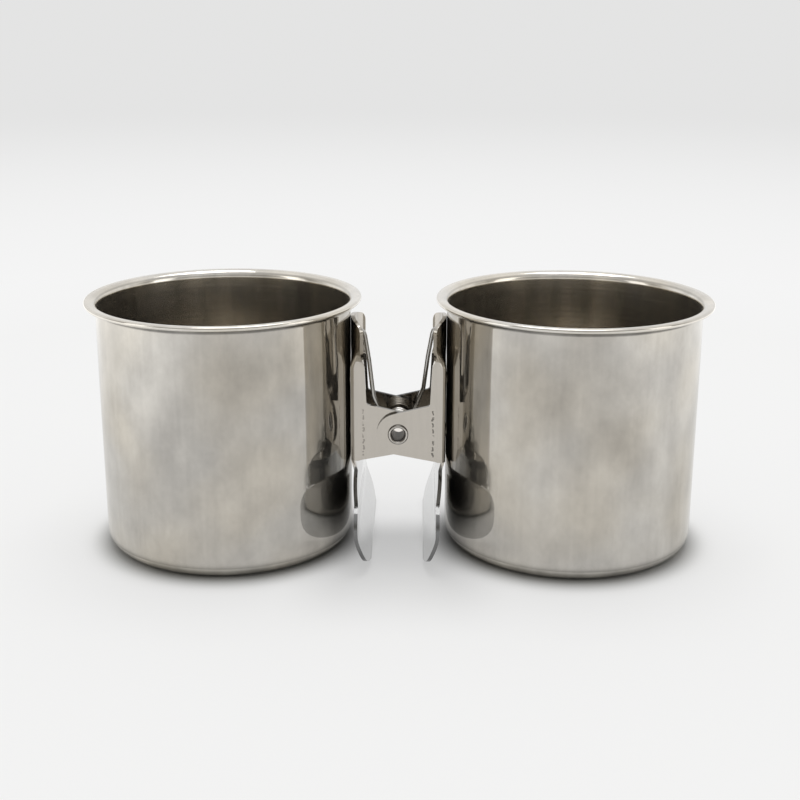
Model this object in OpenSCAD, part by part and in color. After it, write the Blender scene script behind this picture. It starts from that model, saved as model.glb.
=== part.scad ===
// Palette cup clip: two round metal cups on the webs of a sprung two-jaw clip.
// +X runs along the line of the cups, +Y away from the viewer, +Z up from the table.

/* [Cups] */
// Distance from the middle of the clip to each cup's axis
cup_offset = 38.15; // [36:0.05:42]
// Outer radius of a cup's wall
wall_r = 27.65; // [25:0.05:30]
// Height of a cup with its rim
cup_h = 55.5; // [45:0.5:65]
// Outer radius of the rolled rim
rim_r = 30.0; // [28:0.1:33]
// Thickness of the cup's sheet
cup_sheet = 0.5; // [0.4:0.05:0.8]
// Outer radius of the corner between the wall and the bottom
base_corner_r = 4.0; // [2:0.5:6]
// Thickness of the folded hem at the edge of the rim
hem_t = 1.0; // [0.8:0.1:1.6]
// Radius of the throat that leads from the wall to the rim, on the inside
throat_r = 1.7; // [1.2:0.1:2.5]

/* [Clip] */
// Thickness of the clip's sheet
clip_sheet = 0.8; // [0.6:0.1:1.2]
// Distance from the middle to the outer face of each web
web_x = 10.4; // [9:0.1:12]
// Half the width of the outer half's channel over its flanges
channel_half = 7.2; // [6:0.1:9]
// Outer radius of the bend between the web and a flange
bend_r = 1.0; // [0.9:0.1:1.5]
// Height of the channel's lower end
channel_low = 19.6; // [18:0.1:22]
// Height at which the web leaves the flanges for the head
channel_high = 42.0; // [38:0.1:44]
// Height of the flanges' upper end, beside the head
flange_top = 48.9; // [46:0.1:50]
// Distance from the middle to the flanges' free edge above the ear
flange_edge_x = 6.95; // [6:0.05:8]
// Distance from the middle to the free edge where it starts to run out
flange_mid_x = 7.5; // [7:0.05:8]
// Height at which the free edge starts to run out
flange_mid_z = 44.0; // [42:0.1:45]
// Distance from the middle to the free edge by its upper end
flange_end_x = 8.4; // [8:0.05:9]
// Radius of the free edge's corner at the upper end
flange_corner_r = 1.0; // [0.5:0.1:1.5]

/* [Pivot] */
// Height of the pivot axis
pivot_z = 26.15; // [22:0.05:30]
// Radius of an ear's round end
ear_r = 4.7; // [4:0.1:6]
// Height of the notch between an ear's upper edge and the flange
ear_top_z = 32.5; // [30:0.1:35]
// Distance from the middle to the ear's lower corner
ear_low_x = 8.2; // [7:0.1:9]
// Gap between the ears of the two halves
ear_gap = 0.25; // [0.1:0.05:0.4]
// Outer radius of the hollow rivet
eyelet_r = 1.7; // [1.5:0.05:2]
// Bore radius of the hollow rivet
eyelet_bore_r = 1.42; // [1.2:0.02:1.6]
// Radius of the rivet's rolled ends
eyelet_flange_r = 2.25; // [2:0.05:3]
// Thickness of the rivet's rolled ends
eyelet_flange_t = 0.5; // [0.3:0.05:0.8]
// Running clearance between the rivet and the ears
eyelet_clear = 0.05; // [0.02:0.01:0.1]

/* [Jaws] */
// Half the width of a jaw
jaw_half_w = 24.4; // [18:0.1:28]
// Half the height of a jaw
jaw_half_h = 8.3; // [6:0.1:10]
// Height of a jaw's widest line
jaw_z = 9.0; // [8:0.1:12]
// Roundness of a jaw's outline above that line, from an ellipse at 2 towards a rectangle
jaw_power = 2.5; // [2:0.1:4]
// Roundness of its outline below that line
jaw_low_power = 4.2; // [2:0.1:6]
// Half the width of the neck between jaw and channel
neck_half = 5.6; // [4:0.1:7]
// Distance from the middle to a jaw's outer face where it stands upright
jaw_x = 9.05; // [8:0.05:10]
// Slope of the neck under the channel, from upright
neck_angle = 15; // [5:1:25]
// Radius of the bend between neck and jaw
neck_r = 3.0; // [2:0.5:5]
// Height at which the neck's bend has come upright
neck_z = 14.2; // [12:0.1:16]
// Radius in which a jaw curves inwards
jaw_r = 9.0; // [6:0.5:12]
// Height at which it starts to curve inwards
jaw_bend_z = 9.6; // [8:0.1:12]
// Slope of a jaw above its lip, from upright
jaw_slope = 20; // [10:1:30]
// Distance from the middle to the outer corner of a jaw's lip
lip_x = 6.2; // [5.5:0.05:8]
// Height of that corner
lip_z = 0.73; // [0.7:0.01:1.5]
// Radius of the curl at the lip
lip_r = 2.2; // [1:0.1:4]
// Slope of the curl at the lip's edge, from upright
lip_slope = 42; // [25:1:60]

/* [Heads] */
// Distance from the middle to the crest of a head, on the gap side
head_x = 7.9; // [7:0.1:9]
// Radius of a head's curve in plan
head_r = 12.4; // [11:0.1:24]
// Height at which the crank from web to head ends
crank_high = 45.5; // [44:0.1:47]
// Height of a head's shoulders
head_z = 47.7; // [46:0.1:49]
// Radius of a head's shoulders
shoulder_r = 2.0; // [1:0.1:6]
// Angle at which a shoulder meets the top curve
shoulder_angle = 55; // [30:1:65]

/* [Welds] */
// Radius of a projection weld between web and cup
weld_r = 1.6; // [1:0.1:2.5]
// Height of the lower weld
weld_low = 25.0; // [22:0.5:28]
// Height of the upper weld
weld_high = 37.0; // [32:0.5:40]

/* [Spring] */
// Wire diameter
wire_d = 1.0; // [0.8:0.05:1.2]
// Mean radius of the coil
coil_r = 2.45; // [2.3:0.05:3]
// Whole turns between the legs
coil_turns = 6; // [4:1:7]
// Distance of the coil's ends from the middle plane
leg_y = 4.6; // [4:0.1:5]
// A leg's lower bend: distance from the middle
leg_low_x = 6.1; // [5:0.1:7]
// A leg's lower bend: distance from the middle plane
leg_low_y = 3.2; // [2:0.1:5]
// A leg's lower bend: height
leg_low_z = 33.5; // [31:0.1:36]
// A leg's upper bend: distance from the middle
leg_mid_x = 6.7; // [6:0.05:8]
// A leg's upper bend: distance from the middle plane
leg_mid_y = 2.0; // [1:0.1:5]
// A leg's upper bend: height
leg_mid_z = 41.0; // [38:0.1:44]
// A leg's tip: distance from the middle
leg_tip_x = 7.38; // [7:0.01:9]
// A leg's tip: distance from the middle plane
leg_tip_y = 1.2; // [1:0.1:5]
// A leg's tip: height
leg_tip_z = 47.3; // [45:0.1:50]

/* [Hidden] */
// Gap between a weld and the cup that it is fused to
weld_seat = 0.005;
// Points along a quarter turn of a bend
bend_steps = 4;
// Radius of the notch between flange and ear
notch_r = 0.6;
// Height of the ear's lower corner over the channel's lower end, and how far it is cut off
low_rise = 0.2;
low_cut = 0.5;
// Points along an ear's round end
ear_steps = 14;
// Points along a jaw's whole outline
jaw_steps = 56;
// Rings in one curl of the spring
curl_rings = 8;
// Sides of the spring's wire
wire_sides = 6;
// Facets of round faces
$fn = 96;
// Clearance by which a cutting body passes the face that it cuts
past = 1;
// Which node to draw

inner_r = wall_r - cup_sheet;
fillet_r = throat_r - cup_sheet;
throat_centre_r = inner_r + throat_r;
web_in = web_x - clip_sheet;
inner_half = channel_half - clip_sheet - ear_gap;
hole_r = eyelet_r + eyelet_clear;
jaw_low = jaw_z - jaw_half_h;
head_axis_x = head_x + head_r;
crank_slope = atan((web_in - head_x) / (crank_high - channel_high));
head_top = cup_h - hem_t;
pitch_turns = coil_turns + (180 - 2 * leg_angle()) / 360;

steel = [0.78, 0.77, 0.75];
clip_steel = [0.72, 0.70, 0.67];
wire_steel = [0.60, 0.59, 0.57];

// Points of an arc round (cx, cy), from angle a0 to angle a1
function arc(cx, cy, r, a0, a1, steps) =
    [for (i = [0:steps]) let(a = a0 + (a1 - a0) * i / steps) [cx + r * cos(a), cy + r * sin(a)]];

// Direction angle of point p as seen from the origin
function bearing(p) = atan2(p[1], p[0]);

// Angle round the pivot where the line from point p touches a circle of radius r
function touch_angle(p, r, side) = bearing(p) + side * acos(r / norm(p));

// How far below the level the coil's tangent to a leg starts
function leg_angle() =
    let(p = [leg_low_x, leg_low_z - pivot_z]) acos(coil_r / norm(p)) - bearing(p);

// A list of points moved along its normals to the left of its direction
function shifted(pts, d) =
    [for (i = [0:len(pts) - 1])
        let(a = pts[max(i - 1, 0)], b = pts[min(i + 1, len(pts) - 1)], p = pts[i],
            u = i == 0 ? [0, 0] : (p - a) / norm(p - a),
            v = i == len(pts) - 1 ? [0, 0] : (b - p) / norm(b - p),
            s = u + v, n = [-s[1], s[0]] / norm(s),
            k = (i == 0 || i == len(pts) - 1) ? 1 : 1 / sqrt((1 + u * v) / 2))
        p + n * d * k];

function reversed(pts) = [for (i = [len(pts) - 1:-1:0]) pts[i]];

// Extrudes an outline drawn in (x, z) along Y, centred on the middle plane
module along_y(width) {
    rotate([90, 0, 0])
        linear_extrude(height = width, center = true) children();
}

// Extrudes an outline drawn in (y, z) along X, from x0 to x1
module along_x(x0, x1) {
    translate([x0, 0, 0])
        rotate([90, 0, 90])
            linear_extrude(height = x1 - x0) children();
}

module cup_profile() {
    polygon(concat(
        [[0, 0]],
        arc(wall_r - base_corner_r, base_corner_r, base_corner_r, -90, 0, bend_steps),
        arc(wall_r + fillet_r, cup_h - hem_t - fillet_r, fillet_r, 180, 90, 3),
        arc(rim_r - hem_t / 2, cup_h - hem_t / 2, hem_t / 2, -90, 90, bend_steps),
        arc(throat_centre_r, cup_h - throat_r, throat_r, 90, 180, bend_steps),
        arc(wall_r - base_corner_r, base_corner_r, base_corner_r - cup_sheet, 0, -90, bend_steps),
        [[0, cup_sheet]]));
}

module cup(side) {
    color(steel)
        translate([side * cup_offset, 0, 0])
            rotate_extrude() cup_profile();
}

module cup_left() {
    cup(-1);
}

module cup_right() {
    cup(1);
}

// Outer face of web, neck and jaw in (x, z), from the channel's upper end to the lip
function jaw_line() = concat(
    [[web_x, channel_high], [web_x, channel_low]],
    arc(jaw_x + neck_r, neck_z, neck_r, 180 - neck_angle, 180, 2),
    arc(jaw_x - jaw_r, jaw_bend_z, jaw_r, 0, -jaw_slope, 3),
    arc(lip_x - lip_r * cos(lip_slope), lip_z + lip_r * sin(lip_slope), lip_r,
        -jaw_slope, -lip_slope, 2));

module jaw_strip() {
    line = jaw_line();
    polygon(concat(line, reversed(shifted(line, -clip_sheet))));
}

module jaw_outline() {
    polygon([for (i = [0:jaw_steps - 1])
        let(a = 360 * i / jaw_steps, c = cos(a), s = sin(a),
            power = 2 / (s < 0 ? jaw_low_power : jaw_power))
        [jaw_half_w * sign(c) * pow(abs(c), power),
         jaw_z + jaw_half_h * sign(s) * pow(abs(s), power)]]);
}

// Web, neck and jaw: the strip's side profile, cut to the outline seen along the cups
module jaw_and_web() {
    intersection() {
        along_y(2 * jaw_half_w + past) jaw_strip();
        along_x(0, web_x + past) union() {
            jaw_outline();
            translate([-neck_half, jaw_z])
                square([2 * neck_half, channel_high - jaw_z]);
        }
    }
}

// Points mirrored in the first axis or the second, in the opposite order
function flipped(pts, axis) =
    reversed([for (p = pts) axis == 0 ? [-p[0], p[1]] : [p[0], -p[1]]]);

// The channel in plan, of the given half width
module channel_plan(half) {
    bend_mid = half - bend_r;
    outer = concat(arc(web_x - bend_r, bend_mid, bend_r, 0, 90, bend_steps), [[-ear_r, half]]);
    inner = concat(
        arc(web_x - bend_r, bend_mid, bend_r - clip_sheet, 0, 90, bend_steps),
        [[-ear_r, half - clip_sheet]]);
    side = concat(outer, reversed(inner));
    polygon(concat(side, flipped(side, 1)));
}

// Flange and ear from the side, in (x, z), measured from the pivot
module ear_outline() {
    notch = [flange_edge_x, ear_top_z - pivot_z];
    corner = [web_x + past, channel_low - pivot_z];
    low = [ear_low_x, corner[1] + low_rise];
    translate([0, pivot_z])
        polygon(concat(
            [corner, [corner[0], flange_top - pivot_z]],
            arc(flange_end_x + flange_corner_r, flange_top - flange_corner_r - pivot_z,
                flange_corner_r, 90, 170, bend_steps),
            [[flange_mid_x, flange_mid_z - pivot_z]],
            arc(notch[0] - notch_r, notch[1] + notch_r, notch_r, 0, -70, 2),
            arc(0, 0, ear_r, touch_angle(notch, ear_r, 1), 360 + touch_angle(low, ear_r, -1),
                ear_steps),
            [low, [low[0] + low_cut, corner[1]]]));
}

// Flanges, ears and the web's bends, with the web left out above the channel
module channel(half) {
    rise = flange_top - channel_high;
    difference() {
        intersection() {
            translate([0, 0, channel_low])
                linear_extrude(height = flange_top - channel_low) channel_plan(half);
            along_y(2 * half + past) ear_outline();
        }
        translate([web_x, 0, channel_high + (rise + past) / 2])
            cube([4 * bend_r, 2 * (half - bend_r), rise + past], center = true);
    }
}

// A head seen along the cups, rising from a channel of the given half width
module head_outline(half) {
    top_r = shoulder_r + (half - shoulder_r) / cos(shoulder_angle);
    right = concat(
        [[half, channel_high - past]],
        arc(half - shoulder_r, head_z, shoulder_r, 0, shoulder_angle, 4),
        arc(0, head_z - (top_r - shoulder_r) * sin(shoulder_angle), top_r, shoulder_angle, 85, 5));
    polygon(concat(right, flipped(right, 0)));
}

// Everything on the cup's side of a head's face, set back by the given distance
module head_block(back) {
    run = back / cos(crank_slope);
    foot = channel_high + (run - back) / tan(crank_slope);
    knee = crank_high + (run - back) / tan(crank_slope);
    intersection() {
        translate([head_axis_x, 0, channel_high - past])
            cylinder(r = head_r - back, h = head_top - channel_high + 2 * past);
        along_y(2 * channel_half + past)
            polygon([[web_in + back, channel_high - past], [web_in + back, foot],
                     [head_x + back, knee], [head_x + back, head_top + past],
                     [head_axis_x, head_top + past], [head_axis_x, channel_high - past]]);
    }
}

module head(half) {
    intersection() {
        difference() {
            head_block(0);
            head_block(clip_sheet);
        }
        along_x(0, head_axis_x) head_outline(half);
    }
}

module welds() {
    difference() {
        for (z = [weld_low, weld_high])
            translate([web_x - clip_sheet / 2, 0, z])
                rotate([0, 90, 0])
                    cylinder(r = weld_r, h = 2 * clip_sheet);
        translate([cup_offset, 0, channel_low])
            cylinder(r = wall_r + weld_seat, h = channel_high - channel_low);
    }
}

// One half of the clip, with a channel of the given half width
module clip_half(half) {
    color(clip_steel)
        difference() {
            union() {
                jaw_and_web();
                channel(half);
                head(half);
                welds();
            }
            translate([0, 0, pivot_z])
                rotate([90, 0, 0])
                    cylinder(r = hole_r, h = 2 * channel_half + past, center = true);
        }
}

module clip_half_inner() {
    mirror([1, 0, 0]) clip_half(inner_half);
}

module clip_half_outer() {
    clip_half(channel_half);
}

// Hollow rivet: a tube with a rolled end on each side
module pivot_eyelet() {
    end = channel_half + eyelet_clear;
    roll = eyelet_flange_t / 2;
    outline = concat(
        [[eyelet_bore_r, 0], [eyelet_r, 0], [eyelet_r, end]],
        arc(eyelet_flange_r - roll, end + roll, roll, -90, 90, 4),
        arc(eyelet_bore_r + roll, end + roll, roll, 90, 180, 2));
    color(clip_steel)
        translate([0, 0, pivot_z])
            rotate([90, 0, 0]) {
                rotate_extrude() polygon(outline);
                mirror([0, 0, 1]) rotate_extrude() polygon(outline);
            }
}

// Centre line of the spring's wire: left leg, coil, right leg
function spring_path() =
    let(a0 = 180 + leg_angle(),
        rings = floor(pitch_turns * curl_rings),
        tip = [leg_tip_x, leg_tip_y, leg_tip_z],
        mid = [leg_mid_x, leg_mid_y, leg_mid_z],
        leg = [tip, tip + (mid - tip) * wire_d / norm(mid - tip), mid,
               [leg_low_x, leg_low_y, leg_low_z]])
    concat(
        [for (p = leg) [-p[0], -p[1], p[2]]],
        [for (i = [0:rings])
            let(a = a0 + 360 * pitch_turns * i / rings)
            [coil_r * cos(a), leg_y * (2 * i / rings - 1), pivot_z + coil_r * sin(a)]],
        reversed(leg));

// Corners of the wire's section at point i of the path
function wire_ring(path, i) =
    let(a = path[max(i - 1, 0)], b = path[min(i + 1, len(path) - 1)],
        t = (b - a) / norm(b - a), y = [0, 1, 0],
        n = y - (y * t) * t, u = n / norm(n), v = cross(t, u))
    [for (k = [0:wire_sides - 1])
        let(w = 360 * k / wire_sides)
        path[i] + wire_d / 2 * (cos(w) * u + sin(w) * v)];

// Least distance between surfaces of stretches that are not neighbours on the wire
function least_gap(path, skip) =
    min([for (i = [0:len(path) - 1 - skip])
        for (j = [i + skip:len(path) - 1]) norm(path[i] - path[j])]) - wire_d;

module torsion_spring() {
    path = spring_path();
    count = len(path);
    echo(least_gap_between_turns = least_gap(path, curl_rings - 2));
    side_faces = [for (i = [0:count - 2]) for (k = [0:wire_sides - 1])
        let(a = i * wire_sides + k, b = i * wire_sides + (k + 1) % wire_sides)
        for (f = [[a, b, a + wire_sides], [b, b + wire_sides, a + wire_sides]]) f];
    end_faces = [for (k = [1:wire_sides - 2])
        for (f = [[0, k + 1, k],
                  [(count - 1) * wire_sides, (count - 1) * wire_sides + k,
                   (count - 1) * wire_sides + k + 1]]) f];
    color(wire_steel)
        polyhedron(
            points = [for (i = [0:count - 1]) for (p = wire_ring(path, i)) p],
            faces = concat(side_faces, end_faces));
}

cup_left();
cup_right();
clip_half_inner();
clip_half_outer();
pivot_eyelet();
torsion_spring();
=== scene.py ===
import math
import bmesh
import bpy
from mathutils import Matrix, Vector
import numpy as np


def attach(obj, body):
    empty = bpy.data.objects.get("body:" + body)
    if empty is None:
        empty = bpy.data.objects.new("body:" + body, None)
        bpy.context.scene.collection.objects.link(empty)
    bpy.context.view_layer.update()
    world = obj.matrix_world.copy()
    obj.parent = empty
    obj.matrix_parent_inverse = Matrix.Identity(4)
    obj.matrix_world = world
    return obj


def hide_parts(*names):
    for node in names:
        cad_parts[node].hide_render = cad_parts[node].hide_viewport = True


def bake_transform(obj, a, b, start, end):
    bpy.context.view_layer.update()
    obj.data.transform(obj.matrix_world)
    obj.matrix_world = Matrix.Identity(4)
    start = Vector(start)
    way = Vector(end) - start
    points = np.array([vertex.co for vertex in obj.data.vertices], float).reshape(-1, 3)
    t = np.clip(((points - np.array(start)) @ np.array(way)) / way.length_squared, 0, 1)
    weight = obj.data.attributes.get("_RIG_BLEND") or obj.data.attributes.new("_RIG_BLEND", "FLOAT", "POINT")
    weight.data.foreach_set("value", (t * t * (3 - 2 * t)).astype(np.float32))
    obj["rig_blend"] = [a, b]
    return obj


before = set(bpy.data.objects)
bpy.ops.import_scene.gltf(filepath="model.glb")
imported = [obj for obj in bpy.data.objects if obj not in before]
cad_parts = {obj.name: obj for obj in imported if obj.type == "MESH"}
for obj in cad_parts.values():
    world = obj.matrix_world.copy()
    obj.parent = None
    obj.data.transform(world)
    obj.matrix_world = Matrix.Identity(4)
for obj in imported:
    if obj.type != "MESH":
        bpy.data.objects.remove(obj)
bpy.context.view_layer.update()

MM = 0.001


# Camera. The photograph was taken from a little above the rims, square to the line of the cups.
# The place and the lens were fitted to the rims, walls and bottoms of both cups.
camera_place = Vector((4.084, -287.796, 118.913)) * MM
camera_turn = math.radians(0.75)
camera_dip = math.radians(16.83)
camera_roll = math.radians(0.16)
ahead = Vector((-math.sin(camera_turn) * math.cos(camera_dip),
                math.cos(camera_turn) * math.cos(camera_dip),
                -math.sin(camera_dip)))
side = Vector((math.cos(camera_turn), math.sin(camera_turn), 0.0))
upward = side.cross(ahead)
rolled_side = side * math.cos(camera_roll) + upward * math.sin(camera_roll)
rolled_up = upward * math.cos(camera_roll) - side * math.sin(camera_roll)
axes = Matrix((rolled_side, rolled_up, -ahead)).transposed().to_4x4()
camera_data = bpy.data.cameras.new("camera")
camera_data.sensor_width = 36.0
camera_data.lens = 60.75
camera_data.clip_start = 0.01
camera = bpy.data.objects.new("camera", camera_data)
camera.matrix_world = Matrix.Translation(camera_place) @ axes
bpy.context.collection.objects.link(camera)
bpy.context.scene.camera = camera
bpy.context.scene.view_settings.view_transform = "Standard"


# World and floor. The photograph's ground is a white paper sweep that fades into a white wall.
# The floor takes the soft shadows and is what the upright steel mirrors. Further off it turns
# into the plain white of the wall, so that no horizon shows.
class Wire:
    """One output socket, with the arithmetic that the finishes use."""

    def __init__(self, tree, socket):
        self.tree = tree
        self.socket = socket

    def maths(self, operation, *others):
        node = self.tree.nodes.new("ShaderNodeMath")
        node.operation = operation
        for slot, value in zip(node.inputs, (self,) + others):
            join(self.tree, value, slot)
        return Wire(self.tree, node.outputs[0])

    def __add__(self, other):
        return self.maths("ADD", other)

    __radd__ = __add__

    def __sub__(self, other):
        return self.maths("SUBTRACT", other)

    def __rsub__(self, other):
        return (self * -1.0) + other

    def __mul__(self, other):
        return self.maths("MULTIPLY", other)

    __rmul__ = __mul__

    def __truediv__(self, other):
        return self.maths("DIVIDE", other)

    def __pow__(self, other):
        return self.maths("POWER", other)

    def between(self, low, high):
        """0 below low, 1 above high, smooth in between."""
        return shader(self.tree, "ShaderNodeMapRange", {"interpolation_type": "SMOOTHSTEP"},
                      Value=self, From_Min=low, From_Max=high)


def join(tree, value, slot):
    if isinstance(value, Wire):
        tree.links.new(value.socket, slot)
    else:
        slot.default_value = value


def shader(tree, kind, settings=None, out=0, **values):
    """Adds a node: its settings first, then its sockets by name, with _ for a space."""
    node = tree.nodes.new(kind)
    for name, value in (settings or {}).items():
        if name == "stops":
            ramp = node.color_ramp
            while len(ramp.elements) < len(value):
                ramp.elements.new(0.5)
            for element, (place, colour) in zip(ramp.elements, value):
                element.position = place
                element.color = colour
        else:
            setattr(node, name, value)
    for name, value in values.items():
        place = {"first": 1, "second": 2}.get(name, name.replace("_", " "))
        join(tree, value, node.inputs[place])
    return Wire(tree, node.outputs[out])


def part(wire, name):
    """Another output of the node that a wire comes from."""
    return Wire(wire.tree, wire.socket.node.outputs[name])


def blend_colour(tree, amount, low, high):
    """One colour where amount is 0, the other where it is 1."""
    mixed = shader(tree, "ShaderNodeMix", {"data_type": "RGBA"}, Factor=amount)
    node = mixed.socket.node
    colours = [slot for slot in node.inputs if slot.type == "RGBA"]
    join(tree, low, colours[0])
    join(tree, high, colours[1])
    return Wire(tree, [slot for slot in node.outputs if slot.type == "RGBA"][0])


def new_finish(name):
    finish = bpy.data.materials.new(name)
    finish.use_nodes = True
    finish.node_tree.nodes.clear()
    return finish, finish.node_tree


def surface(tree, wire):
    output = tree.nodes.new("ShaderNodeOutputMaterial")
    tree.links.new(wire.socket, output.inputs["Surface"])


def dress(obj, finish):
    obj.data.materials.clear()
    obj.data.materials.append(finish)


wall_white = (0.775, 0.775, 0.773, 1)
world = bpy.data.worlds.new("studio")
world.use_nodes = True
bpy.context.scene.world = world
tree = world.node_tree
tree.nodes.clear()
# What the steel mirrors: a dim room behind the camera and a bright wall behind the object.
direction = part(shader(tree, "ShaderNodeTexCoord"), "Generated")
split = shader(tree, "ShaderNodeSeparateXYZ", Vector=direction)
height = part(split, "Z")
depth = part(split, "Y")
room = shader(tree, "ShaderNodeValToRGB", {"stops": [
    (0.0, (0.76, 0.76, 0.75, 1)), (0.12, (0.66, 0.65, 0.63, 1)), (0.34, (0.36, 0.35, 0.33, 1)),
    (0.55, (0.48, 0.47, 0.45, 1)), (0.80, (0.80, 0.80, 0.80, 1)), (1.0, (1.0, 1.0, 1.0, 1))]},
    Fac=height)
wall = shader(tree, "ShaderNodeValToRGB", {"stops": [
    (0.0, (0.80, 0.80, 0.80, 1)), (0.20, (0.95, 0.95, 0.95, 1)), (0.60, (0.85, 0.85, 0.85, 1)),
    (1.0, (1.0, 1.0, 1.0, 1))]}, Fac=height)
sky = blend_colour(tree, depth.between(-0.05, 0.40), room, wall)
seen = shader(tree, "ShaderNodeBackground", Color=wall_white, Strength=1.0)
lit = shader(tree, "ShaderNodeBackground", Color=sky, Strength=1.0)
output = tree.nodes.new("ShaderNodeOutputWorld")
join(tree, shader(tree, "ShaderNodeMixShader", Fac=shader(tree, "ShaderNodeLightPath"),
                  first=lit, second=seen), output.inputs["Surface"])

bpy.ops.object.select_all(action="DESELECT")
bpy.ops.mesh.primitive_plane_add(size=40.0, location=(0, 0, 0))
floor = bpy.context.object
floor.name = "floor"
finish, tree = new_finish("floor_paper")
spot = part(shader(tree, "ShaderNodeTexCoord"), "Object")
far = shader(tree, "ShaderNodeVectorMath", {"operation": "LENGTH"}, out=1, Vector=spot)
plan = shader(tree, "ShaderNodeSeparateXYZ", Vector=spot)
aside, along = part(plan, "X").maths("ABSOLUTE"), part(plan, "Y")
# gap is the distance from a cup's foot. The pool is painted shade on the paper between the cups, deeper than
# the lamps cast, and foot_shade is painted shade round each cup's foot.
cup_off_centre = 0.03815
foot_radius = 0.0240
pool_depth = 0.25
pool_front, pool_back, pool_side = (-0.055, -0.008), (-0.003, 0.012), (0.010, 0.026)
gap = ((aside - cup_off_centre) ** 2 + along ** 2) ** 0.5 - foot_radius
pool = (1 - along.between(*pool_back)) * along.between(*pool_front) \
    * (1 - aside.between(*pool_side))
dim = 1 - pool * pool_depth
foot_shade = (0.36, 0.36, 0.35, 1)
paper_white = (0.815, 0.818, 0.815, 1)
paper = shader(tree, "ShaderNodeBsdfDiffuse", Color=shader(
    tree, "ShaderNodeVectorMath", {"operation": "SCALE"}, Scale=dim,
    Vector=blend_colour(tree, gap.between(0.0022, 0.0085), foot_shade, paper_white)))
# The paper glows where the photograph's does, and more so in what the cups' outer sides mirror.
rays = shader(tree, "ShaderNodeLightPath")
mirrored = part(rays, "Is Glossy Ray")
side_light = mirrored * aside.between(0.10, 0.18) * 0.58
near_white = (0.915, 0.915, 0.915, 1)
glow = shader(tree, "ShaderNodeEmission", Strength=(1 + side_light) * dim,
              Color=blend_colour(tree, far.between(0.2, 1.2), near_white, wall_white))
shown = rays.maths("MAXIMUM", mirrored)
lift = (gap.between(0.001, 0.011) * 0.62).maths("MAXIMUM", far.between(0.10, 0.32))
surface(tree, shader(tree, "ShaderNodeMixShader", Fac=lift * shown, first=paper, second=glow))
dress(floor, finish)

lamps = [("lamp_over", (0.02, 0.10, 0.80), (0, 0, 0.03), 0.46, 0.46, 1.9),
         ("lamp_left", (-0.75, -0.30, 0.34), (0, 0, 0.03), 0.30, 0.50, 0.55),
         ("lamp_right", (0.75, -0.30, 0.34), (0, 0, 0.03), 0.30, 0.50, 0.55)]
for name, place, target, width, tall, power in lamps:
    data = bpy.data.lights.new(name, "AREA")
    data.shape = "RECTANGLE"
    data.size = width
    data.size_y = tall
    data.energy = power
    lamp = bpy.data.objects.new(name, data)
    lamp.location = place
    lamp.rotation_euler = (Vector(target) - Vector(place)).to_track_quat("-Z", "Y").to_euler()
    bpy.context.collection.objects.link(lamp)


# The two cups. Each is drawn from one disc of 0.5 mm stainless sheet: a flat bottom, an upright
# wall and a rim that is turned outwards and hemmed. Outside they are polished with a fine haze
# and hand marks, inside the turning lines of the drawing are left.
cup_axis = 38.15
cup_wall = 27.65
cup_height = 55.5
cup_rim = 30.0
cup_sheet = 0.5
cup_corner = 4.0
flare = 1.2
hem = 0.5
wall_levels = (16.0, 29.0, 42.0)
cup_turns = 160


def curl(centre, radius, start, stop, count):
    """Points of an arc in a cup's profile, as (radius, height), in millimetres."""
    turns = [math.radians(start + (stop - start) * step / count) for step in range(count + 1)]
    return [(centre[0] + radius * math.cos(turn), centre[1] + radius * math.sin(turn))
            for turn in turns]


cup_profile = (
    [(0.0, 0.0), (12.0, 0.0), (22.0, 0.0)]
    + curl((cup_wall - cup_corner, cup_corner), cup_corner, -90, 0, 10)
    + [(cup_wall, level) for level in wall_levels]
    + curl((cup_wall + flare, cup_height - 2 * hem - flare), flare, 180, 96, 7)
    + curl((cup_rim - hem, cup_height - hem), hem, -100, 90, 9)
    + curl((cup_wall + flare, cup_height - cup_sheet - flare), flare + cup_sheet, 86, 180, 10)
    + [(cup_wall - cup_sheet, level) for level in reversed(wall_levels)]
    + curl((cup_wall - cup_corner, cup_corner), cup_corner - cup_sheet, 0, -90, 10)
    + [(12.0, cup_sheet), (0.0, cup_sheet)])


def spun(name, points, place, about, steps):
    """Draws a profile from one corner with extrusions and spins it round its axis.

    points are (radius, distance along the axis) in millimetres, about is Y or Z."""
    bpy.ops.object.select_all(action="DESELECT")
    bpy.ops.mesh.primitive_plane_add(size=MM, location=(0, 0, 0))
    piece = bpy.context.object
    piece.name = name
    bpy.ops.object.mode_set(mode="EDIT")
    bpy.ops.mesh.merge(type="CENTER")
    bpy.ops.mesh.select_all(action="SELECT")
    lay = (lambda r, h: Vector((r, 0, h))) if about == "Z" else (lambda r, h: Vector((r, h, 0)))
    corners = [(lay(*point)) * MM for point in points]
    bpy.ops.transform.translate(value=corners[0])
    for before, after in zip(corners, corners[1:]):
        bpy.ops.mesh.extrude_vertices_move(TRANSFORM_OT_translate={"value": after - before})
    if points[0][0] > 0:
        bpy.ops.mesh.extrude_vertices_move(
            TRANSFORM_OT_translate={"value": corners[0] - corners[-1]})
    bpy.ops.mesh.select_all(action="SELECT")
    bpy.ops.mesh.spin(steps=steps, angle=2 * math.pi, center=(0, 0, 0),
                      axis=(0, 0, 1) if about == "Z" else (0, 1, 0))
    bpy.ops.mesh.select_all(action="SELECT")
    bpy.ops.mesh.remove_doubles(threshold=0.002 * MM)
    bpy.ops.mesh.normals_make_consistent(inside=False)
    bpy.ops.transform.translate(value=Vector(place) * MM)
    bpy.ops.object.mode_set(mode="OBJECT")
    bpy.ops.object.shade_smooth_by_angle(angle=math.radians(40))
    return piece


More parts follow.
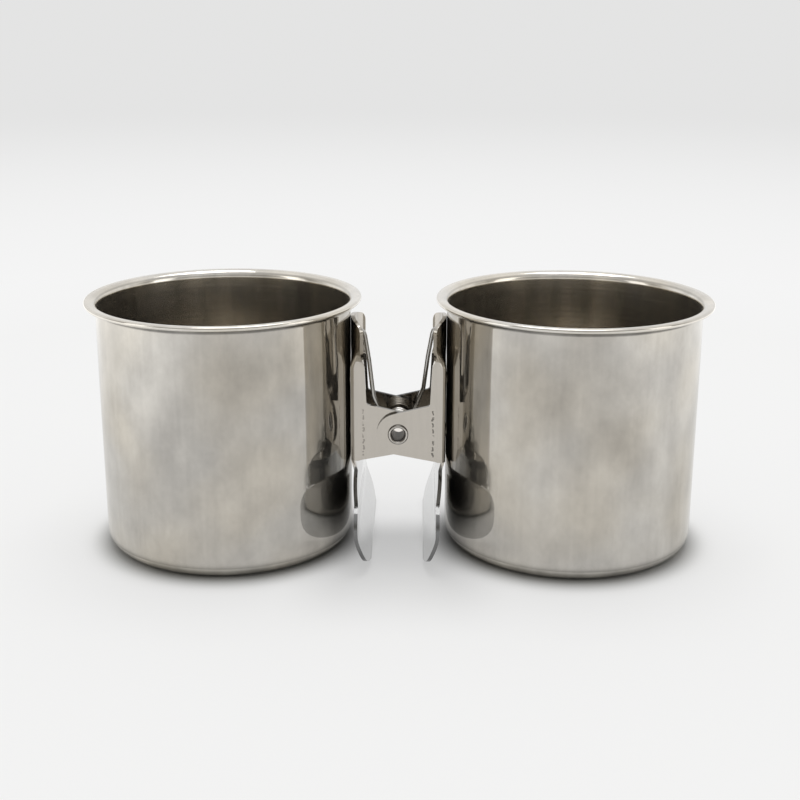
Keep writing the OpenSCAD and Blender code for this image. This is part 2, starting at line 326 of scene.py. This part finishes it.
def cup_steel(name, middle, inward, seed):
    """Polished stainless: a mirror with a fine haze, clouded by hands, lightly brushed.

    middle is the cup's axis along X, and inward is 1 where the clip is on its +X side."""
    finish, tree = new_finish(name)
    spot = part(shader(tree, "ShaderNodeTexCoord"), "Object")
    own = shader(tree, "ShaderNodeMapping", Vector=spot, Location=(-middle * MM, 0, 0))
    split = shader(tree, "ShaderNodeSeparateXYZ", Vector=own)
    x, y, z = part(split, "X"), part(split, "Y"), part(split, "Z")
    reach = (x * x + y * y) ** 0.5
    # Each pair below is where a mask starts and where it is full, in metres.
    wall_middle, bottom_middle = (0.02735, 0.02745), (0.0003, 0.0006)
    inside = (1 - reach.between(*wall_middle)) * z.between(*bottom_middle)
    drift = shader(tree, "ShaderNodeMapping", Vector=own, Location=(seed, seed * 0.7, 0))
    cloud = shader(tree, "ShaderNodeTexNoise", Scale=105.0, Detail=4.0, Roughness=0.62,
                   Vector=shader(tree, "ShaderNodeMapping", Vector=drift, Scale=(1, 1, 0.7)))
    smear = shader(tree, "ShaderNodeTexNoise", Scale=38.0, Detail=2.0, Roughness=0.5,
                   Vector=shader(tree, "ShaderNodeMapping", Vector=drift, Scale=(1, 1, 0.45)))
    tint = shader(tree, "ShaderNodeTexNoise", Vector=drift, Scale=52.0, Detail=1.5, Roughness=0.4)
    brushed = shader(tree, "ShaderNodeTexNoise", Scale=900.0, Detail=2.0, Roughness=0.6,
                     Vector=shader(tree, "ShaderNodeMapping", Vector=own, Scale=(1, 1, 0.02)))
    turned = shader(tree, "ShaderNodeTexNoise", Scale=1500.0, Detail=3.0, Roughness=0.7,
                    Vector=shader(tree, "ShaderNodeMapping", Vector=own,
                                  Scale=(0.012, 0.012, 1)))
    wave = shader(tree, "ShaderNodeTexNoise", Vector=drift, Scale=60.0, Detail=1.0, Roughness=0.4)
    pit_field = shader(tree, "ShaderNodeTexVoronoi", {"feature": "F1"}, Vector=drift, Scale=150.0)
    pit_chance = shader(tree, "ShaderNodeTexNoise", Vector=drift, Scale=260.0, Detail=1.0)
    pit = (1 - pit_field.between(0.02, 0.055)) * pit_chance.between(0.60, 0.64) * (1 - inside)
    warm = blend_colour(tree, tint.between(0.30, 0.70), (0.520, 0.500, 0.465, 1),
                        (0.525, 0.490, 0.430, 1))
    # Painted shade: darker low down beside the jaw and in a strip beneath the hem. Painted light: lighter on
    # the lip and on the flank that faces the clip.
    jaw_side, jaw_top = (0.0215, 0.0255), (0.006, 0.028)
    jaw_shade = (x * inward).between(*jaw_side) * (1 - z.between(*jaw_top)) * (1 - inside)
    bands = shader(tree, "ShaderNodeTexNoise", Scale=150.0, Detail=2.0, Roughness=0.5,
                   Vector=shader(tree, "ShaderNodeMapping", Vector=own, Scale=(1, 1, 0.02)))
    hem_foot, hem_middle, wall_face = (0.0533, 0.0537), (0.0544, 0.0546), (0.0276, 0.0277)
    hem_shade = z.between(*hem_foot) * (1 - z.between(*hem_middle)) * reach.between(*wall_face)
    lip_foot, lip_reach = (0.0542, 0.0546), (0.0276, 0.0278)
    lip_light = z.between(*lip_foot) * reach.between(*lip_reach)
    flank_light = (x * inward).between(0.006, 0.020)
    # Painted shade: a darker band across the upper middle of the outer wall.
    high_foot, high_top = (0.020, 0.036), (0.045, 0.053)
    high = z.between(*high_foot) * (1 - z.between(*high_top)) * (1 - inside)
    # Painted light: inside * 0.42 lifts the whole inside of the cup, for the light that bounces round in it.
    shade = 1 + (cloud - 0.5) * 0.72 + (smear - 0.5) * 0.45 + (brushed - 0.5) * 0.10 \
        + (turned - 0.5) * inside * 0.8 + inside * (0.42 + (bands - 0.5) * 1.5) \
        - jaw_shade * 0.55 - hem_shade * 0.55 - high * 0.08 + lip_light * 0.30 \
        + flank_light * (1 - inside) * 0.09
    colour = shader(tree, "ShaderNodeVectorMath", {"operation": "SCALE"}, Vector=warm,
                    Scale=shade * (1 - pit * 0.75))
    bump = shader(tree, "ShaderNodeBump", Strength=1.0, Distance=0.00002,
                  Height=wave * 1.0 + (turned - 0.5) * inside * 0.10 - pit * 1.5)
    mirror = shader(tree, "ShaderNodeBsdfPrincipled", Base_Color=colour, Metallic=1.0,
                    Roughness=(cloud - 0.5) * 0.05 + 0.06 + inside * 0.10, Normal=bump)
    haze = shader(tree, "ShaderNodeBsdfPrincipled", Base_Color=colour, Metallic=1.0,
                  Roughness=0.46, Normal=bump)
    surface(tree, shader(tree, "ShaderNodeMixShader", first=mirror, second=haze,
                         Fac=(0.11 + (smear - 0.5) * 0.16) * (1 - inside * 0.7)))
    return finish


for node, body, way in [("cup_left", "left_side", -1), ("cup_right", "right_side", 1)]:
    cup = spun(node + "_polished", cup_profile, (way * cup_axis, 0, 0), "Z", cup_turns)
    seed = 0.31 if way < 0 else 0.87
    dress(cup, cup_steel("cup_steel_" + node[4:], way * cup_axis, -way, seed))
    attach(cup, body)
    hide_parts(node)


# The two clip halves. Each is one blank of 0.8 mm steel, folded into a channel with ears for the
# hinge, spread into a jaw below and a thumb pad above, and spot-welded to its cup. The cut
# edges are broken by tumbling, and the fold presses have left small nicks beside the ears.
edge_break = 0.18


def clip_steel(name, way):
    """Plated steel: streaked along the sheet, nicked by the press, with painted shade on its sheared edges
    and far ears.
    """
    finish, tree = new_finish(name)
    spot = part(shader(tree, "ShaderNodeTexCoord"), "Object")
    split = shader(tree, "ShaderNodeSeparateXYZ", Vector=spot)
    x, y, z = part(split, "X") * way, part(split, "Y"), part(split, "Z")
    cloud = shader(tree, "ShaderNodeTexNoise", Vector=spot, Scale=140.0, Detail=4.0,
                   Roughness=0.6)
    grain = shader(tree, "ShaderNodeTexNoise", Scale=1400.0, Detail=3.0, Roughness=0.65,
                   Vector=shader(tree, "ShaderNodeMapping", Vector=spot, Scale=(1, 1, 0.06)))
    wobble = shader(tree, "ShaderNodeTexNoise", Vector=spot, Scale=700.0, Detail=1.0)
    # The nicks: a dashed line beside the near ear's fold.
    nick_step = 0.00138
    nick_line = 0.00768
    first_nick, last_nick, near_face = (0.0205, 0.0207), (0.0317, 0.0319), (-0.0062, -0.0060)
    row = (z * (1 / nick_step)).maths("FRACT")
    stray = (x - nick_line + (wobble - 0.5) * 0.0012).maths("ABSOLUTE")
    nick = (1 - ((row - 0.5).maths("ABSOLUTE")).between(0.28, 0.38)) \
        * (1 - stray.between(0.00010, 0.0002)) \
        * z.between(*first_nick) * (1 - z.between(*last_nick)) \
        * (1 - y.between(*near_face)) * wobble.between(0.34, 0.50)
    # The sheared edges, found by the way they face, across the jaw and along the ears: painted shade darkens
    # them.
    edge_on = (0.30, 0.50)
    jaw_end, channel_foot = (0.0165, 0.0185), (0.0170, 0.0190)
    ear_foot, ear_top, ear_root = (0.0190, 0.0195), (0.0335, 0.034), (0.0088, 0.0092)
    facing = shader(tree, "ShaderNodeSeparateXYZ",
                    Vector=part(shader(tree, "ShaderNodeTexCoord"), "Normal"))
    jaw_edge_shade = (1 - part(facing, "X").maths("ABSOLUTE").between(*edge_on)) \
        * (1 - z.between(*jaw_end))
    ear_edge_shade = (1 - part(facing, "Y").maths("ABSOLUTE").between(*edge_on)) \
        * (1 - x.between(*ear_root)) * z.between(*ear_foot) * (1 - z.between(*ear_top))
    # Painted shade on the far ears.
    far_ear_shade = y.between(0.0040, 0.0046) * z.between(0.0195, 0.0205) * (1 - z.between(0.033, 0.034))
    shade = 1 + (cloud - 0.5) * 0.14 + (grain - 0.5) * 0.10 \
        - nick * (0.62 if way > 0 else 0.34) - far_ear_shade * 0.35 \
        - jaw_edge_shade * 0.70 - ear_edge_shade * 0.60
    jaw_metal = (0.650, 0.652, 0.650, 1)
    channel_metal = (0.525, 0.492, 0.443, 1)
    colour = shader(tree, "ShaderNodeVectorMath", {"operation": "SCALE"}, Scale=shade,
                    Vector=blend_colour(tree, z.between(*channel_foot), jaw_metal,
                                        channel_metal))
    bump = shader(tree, "ShaderNodeBump", Strength=1.0, Distance=0.00003,
                  Height=cloud * 0.8 + grain * 0.15 - nick * 2.0)
    mirror = shader(tree, "ShaderNodeBsdfPrincipled", Base_Color=colour, Metallic=1.0,
                    Roughness=(cloud - 0.5) * 0.06 + 0.06, Normal=bump)
    haze = shader(tree, "ShaderNodeBsdfPrincipled", Base_Color=colour, Metallic=1.0,
                  Roughness=0.45, Normal=bump)
    surface(tree, shader(tree, "ShaderNodeMixShader", Fac=0.10 + (cloud - 0.5) * 0.2,
                         first=mirror, second=haze))
    return finish


sheet = 0.8
web_face = 10.4
fold = 1.0
pad_foot = 40.9
pad_wide = 44.6
pad_open = 45.2
pad_face = 10.49
pad_radius = 13.0
pad_half = 7.4
shoulder = 2.0
shoulder_foot = 48.6
crown_foot = 50.55
crown = 21.0
crown_centre = 30.4
rim_cuts = 9
nudge = 0.02
pad_levels = (41.5, 42.2, 42.9, 43.6, 44.3, 45.0, 45.7, 46.4, 47.1, 47.8, 48.6, 49.2, 49.7, 50.1,
              50.4, 50.65, 50.9, 51.1, 51.25, 51.37)


def eased(value, low, high):
    """0 below low, 1 above high, smooth in between."""
    part_way = min(max((value - low) / (high - low), 0.0), 1.0)
    return part_way * part_way * (3 - 2 * part_way)


def pad_width(level):
    """Half the width of the thumb pad at a height, seen along the cups: rounded shoulders."""
    if level < shoulder_foot:
        return pad_half
    if level < crown_foot:
        return pad_half - shoulder + math.sqrt(shoulder ** 2 - (level - shoulder_foot) ** 2)
    return math.sqrt(max(crown ** 2 - (level - crown_centre) ** 2, 0.4))


def in_plan(run, half, opened):
    """Where the sheet's outer face is, run millimetres round from the middle of the web."""
    way, run = math.copysign(1, run), abs(run)
    straight = half - fold
    turn = min(max((run - straight) / fold, 0.0), math.pi / 2)
    past_fold = max(run - straight - fold * math.pi / 2, 0.0)
    channel = Vector((web_face - fold + fold * math.cos(turn) - past_fold,
                      min(run, straight) + fold * math.sin(turn)))
    pad = Vector((pad_face - pad_radius + pad_radius * math.cos(run / pad_radius),
                  pad_radius * math.sin(run / pad_radius)))
    place = channel.lerp(pad, opened)
    return Vector((place.x, way * place.y))


def run_of(corner, half):
    """The run to a corner of the channel's section, and 1 on its inner face, 0 on its outer."""
    way, across, along = math.copysign(1, corner.y), abs(corner.x), abs(corner.y)
    straight = half - fold
    if along < straight + 0.001:
        return way * along, float(across < web_face - sheet / 2)
    if across < web_face - fold:
        run = straight + fold * math.pi / 2 + web_face - fold - across
        return way * run, float(along < half - sheet / 2)
    off = Vector((across - web_face + fold, along - straight))
    return way * (straight + fold * math.atan2(off.y, off.x)), float(off.length < fold - sheet / 2)


def spread_pad(half_width, way):
    """Cuts the folded channel off below its pad and draws the sheet up again, ring by ring,
    while it opens from the channel into the round-shouldered thumb pad."""
    bpy.ops.mesh.select_all(action="SELECT")
    bpy.ops.mesh.bisect(plane_co=(0, 0, pad_foot * MM), plane_no=(0, 0, 1), clear_outer=True,
                        threshold=0.001 * MM)
    grid = bmesh.from_edit_mesh(bpy.context.object.data)
    rim = [edge for edge in grid.edges if edge.is_boundary]
    for edge in grid.edges:
        edge.select = False
    for edge in rim:
        if edge.calc_length() > 1.2 * MM:
            edge.select = True
    bmesh.update_edit_mesh(bpy.context.object.data)
    bpy.ops.mesh.subdivide(number_cuts=rim_cuts)
    grid = bmesh.from_edit_mesh(bpy.context.object.data)
    runs = grid.verts.layers.float.new("run")
    inner = grid.verts.layers.float.new("inner")
    for vert in grid.verts:
        vert.select = False
    for edge in grid.edges:
        edge.select = False
    for face in grid.faces:
        face.select = False
    for edge in grid.edges:
        if edge.is_boundary:
            edge.select = True
            for vert in edge.verts:
                vert[runs], vert[inner] = run_of(vert.co / MM, half_width)
    widest = max(abs(vert[runs]) for vert in grid.verts)
    bmesh.update_edit_mesh(bpy.context.object.data)
    last = pad_foot
    for level in pad_levels:
        bpy.ops.mesh.extrude_region_move(
            TRANSFORM_OT_translate={"value": (0, 0, (level - last) * MM)})
        last = level
        opened = eased(level, pad_foot, pad_open)
        spread = pad_radius * math.asin(pad_width(level) / pad_radius)
        reach = widest + (spread - widest) * eased(level, pad_foot, pad_wide)
        grid = bmesh.from_edit_mesh(bpy.context.object.data)
        runs, inner = grid.verts.layers.float["run"], grid.verts.layers.float["inner"]
        for vert in grid.verts:
            if vert.select:
                run = vert[runs] * reach / widest
                place = in_plan(run, half_width, opened)
                ahead_by = in_plan(run + nudge, half_width, opened) \
                    - in_plan(run - nudge, half_width, opened)
                outward = Vector((ahead_by.y, -ahead_by.x)).normalized()
                place = place - outward * sheet * vert[inner]
                vert.co = Vector((way * place.x, place.y, level)) * MM
        bmesh.update_edit_mesh(bpy.context.object.data)
    bpy.ops.mesh.edge_face_add()
    bpy.ops.mesh.select_all(action="SELECT")
    bpy.ops.mesh.normals_make_consistent(inside=False)


for node, body, way, half_width in [("clip_half_inner", "left_side", -1, 6.15),
                                    ("clip_half_outer", "right_side", 1, 7.2)]:
    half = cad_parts[node].copy()
    half.data = half.data.copy()
    half.name = node + "_pressed"
    bpy.context.collection.objects.link(half)
    half.parent = None
    bpy.ops.object.select_all(action="DESELECT")
    half.select_set(True)
    bpy.context.view_layer.objects.active = half
    bpy.ops.object.mode_set(mode="EDIT")
    bpy.ops.mesh.select_all(action="SELECT")
    bpy.ops.mesh.remove_doubles(threshold=0.002 * MM)
    bpy.ops.mesh.dissolve_limited(angle_limit=math.radians(0.6))
    spread_pad(half_width, way)
    bpy.ops.object.mode_set(mode="OBJECT")
    soft = half.modifiers.new("edges", "BEVEL")
    soft.width = edge_break * MM
    soft.segments = 2
    soft.limit_method = "ANGLE"
    soft.angle_limit = math.radians(60)
    bpy.ops.object.modifier_apply(modifier=soft.name)
    bpy.ops.object.shade_smooth_by_angle(angle=math.radians(28))
    level_faces = half.modifiers.new("level_faces", "WEIGHTED_NORMAL")
    level_faces.keep_sharp = True
    bpy.ops.object.modifier_apply(modifier=level_faces.name)
    dress(half, clip_steel("clip_steel_" + node[10:], way))
    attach(half, body)
    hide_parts(node)


# The hollow rivet. A thin steel tube passes through all four ears, and both its ends are
# flared and rolled over so that it can't come out and the halves still turn on it.
hinge_height = 26.15
rivet_end = [(1.42, 5.8), (1.43, 6.6), (1.47, 7.1), (1.55, 7.45), (1.68, 7.66), (1.85, 7.75),
             (2.02, 7.72), (2.16, 7.62), (2.24, 7.49), (2.24, 7.36), (2.18, 7.28), (1.70, 7.26),
             (1.69, 7.10)]
rivet_profile = rivet_end + [(radius, -along) for radius, along in reversed(rivet_end)]
rivet = spun("pivot_eyelet_rolled", rivet_profile, (0, 0, hinge_height), "Y", 64)
finish, tree = new_finish("rivet_steel_bright")
spot = part(shader(tree, "ShaderNodeTexCoord"), "Object")
smut = shader(tree, "ShaderNodeTexNoise", Vector=spot, Scale=900.0, Detail=3.0, Roughness=0.6)
plan = shader(tree, "ShaderNodeSeparateXYZ", Vector=spot)
rise = part(plan, "Z") - hinge_height * MM
# Painted shade darkens the flare's edge and the near part of the bore, which is also made duller, and
# painted light brightens the bore's middle, where light from the far end reaches it.
bore_wall, flare_edge, lit_depth = (0.00155, 0.00163), (0.00205, 0.00212), (-0.0014, -0.0008)
out_by = (part(plan, "X") ** 2 + rise ** 2) ** 0.5
bore = 1 - out_by.between(*bore_wall)
deep = part(plan, "Y").between(*lit_depth)
rim = out_by.between(*flare_edge)
colour = shader(tree, "ShaderNodeVectorMath", {"operation": "SCALE"}, Vector=(0.50, 0.475, 0.44),
                Scale=(0.88 + smut * 0.3) * (1 - bore * (0.75 - deep * 1.4)) * (1 - rim * 0.65))
unlit_bore = bore * (1 - deep)
surface(tree, shader(tree, "ShaderNodeBsdfPrincipled", Base_Color=colour,
                     Metallic=1 - unlit_bore * 0.85, Roughness=smut * 0.08 + 0.03 + unlit_bore * 0.3,
                     Normal=shader(tree, "ShaderNodeBump", Strength=0.6, Distance=0.00002,
                                   Height=smut)))
dress(rivet, finish)
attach(rivet, "left_side")
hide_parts("pivot_eyelet")


# The torsion spring. One length of 1 mm hard-drawn wire is coiled about six and a half times
# round the rivet, and each end runs up to bear on the back of a thumb pad, which keeps the jaws
# shut.
coil_radius = 2.45
coil_half = 4.6
leg_points = [(9.05, 1.0, 48.2), (8.1, 1.0, 48.0), (7.6, 1.05, 47.6), (7.35, 1.15, 46.8),
              (6.45, 2.0, 41.5), (5.5, 3.2, 33.8)]
wire_half = 0.5
low_x, low_z = leg_points[-1][0], leg_points[-1][2] - hinge_height
leg_angle = math.degrees(math.acos(coil_radius / math.hypot(low_x, low_z))
                         - math.atan2(low_z, low_x))
coil_turns = 6 + (180 - 2 * leg_angle) / 360
rounds = int(coil_turns * 32)
wire_path = [(-x, -y, z) for x, y, z in leg_points]
for step in range(rounds + 1):
    turn = math.radians(180 + leg_angle + 360 * coil_turns * step / rounds)
    wire_path.append((coil_radius * math.cos(turn), coil_half * (2 * step / rounds - 1),
                      hinge_height + coil_radius * math.sin(turn)))
wire_path += reversed(leg_points)
wire = bpy.data.curves.new("torsion_spring_wire", "CURVE")
wire.dimensions = "3D"
wire.bevel_depth = wire_half * MM
wire.bevel_resolution = 3
wire.use_fill_caps = True
strand = wire.splines.new("POLY")
strand.points.add(len(wire_path) - 1)
for point, place in zip(strand.points, wire_path):
    point.co = (*(Vector(place) * MM), 1.0)
spring = bpy.data.objects.new("torsion_spring_wire", wire)
bpy.context.collection.objects.link(spring)
bpy.ops.object.select_all(action="DESELECT")
spring.select_set(True)
bpy.context.view_layer.objects.active = spring
bpy.ops.object.convert(target="MESH")
spring = bpy.context.object
bpy.ops.object.mode_set(mode="EDIT")
bpy.ops.mesh.select_all(action="SELECT")
bpy.ops.mesh.remove_doubles(threshold=0.002 * MM)
bpy.ops.mesh.normals_make_consistent(inside=False)
bpy.ops.object.mode_set(mode="OBJECT")
tips = spring.modifiers.new("cut_ends", "BEVEL")
tips.width = 0.18 * MM
tips.segments = 3
tips.limit_method = "ANGLE"
tips.angle_limit = math.radians(60)
bpy.ops.object.modifier_apply(modifier=tips.name)
bpy.ops.object.shade_smooth_by_angle(angle=math.radians(45))
finish, tree = new_finish("spring_wire_drawn")
spot = part(shader(tree, "ShaderNodeTexCoord"), "Object")
smut = shader(tree, "ShaderNodeTexNoise", Vector=spot, Scale=700.0, Detail=3.0, Roughness=0.6)
colour = shader(tree, "ShaderNodeVectorMath", {"operation": "SCALE"}, Vector=(0.50, 0.49, 0.47),
                Scale=0.85 + smut * 0.3)
surface(tree, shader(tree, "ShaderNodeBsdfPrincipled", Base_Color=colour, Metallic=1.0,
                     Roughness=smut * 0.16 + 0.10))
dress(spring, finish)
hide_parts("torsion_spring")
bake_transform(spring, "left_side", "right_side", start=(-0.003, 0, 0.02615), end=(0.003, 0, 0.02615))
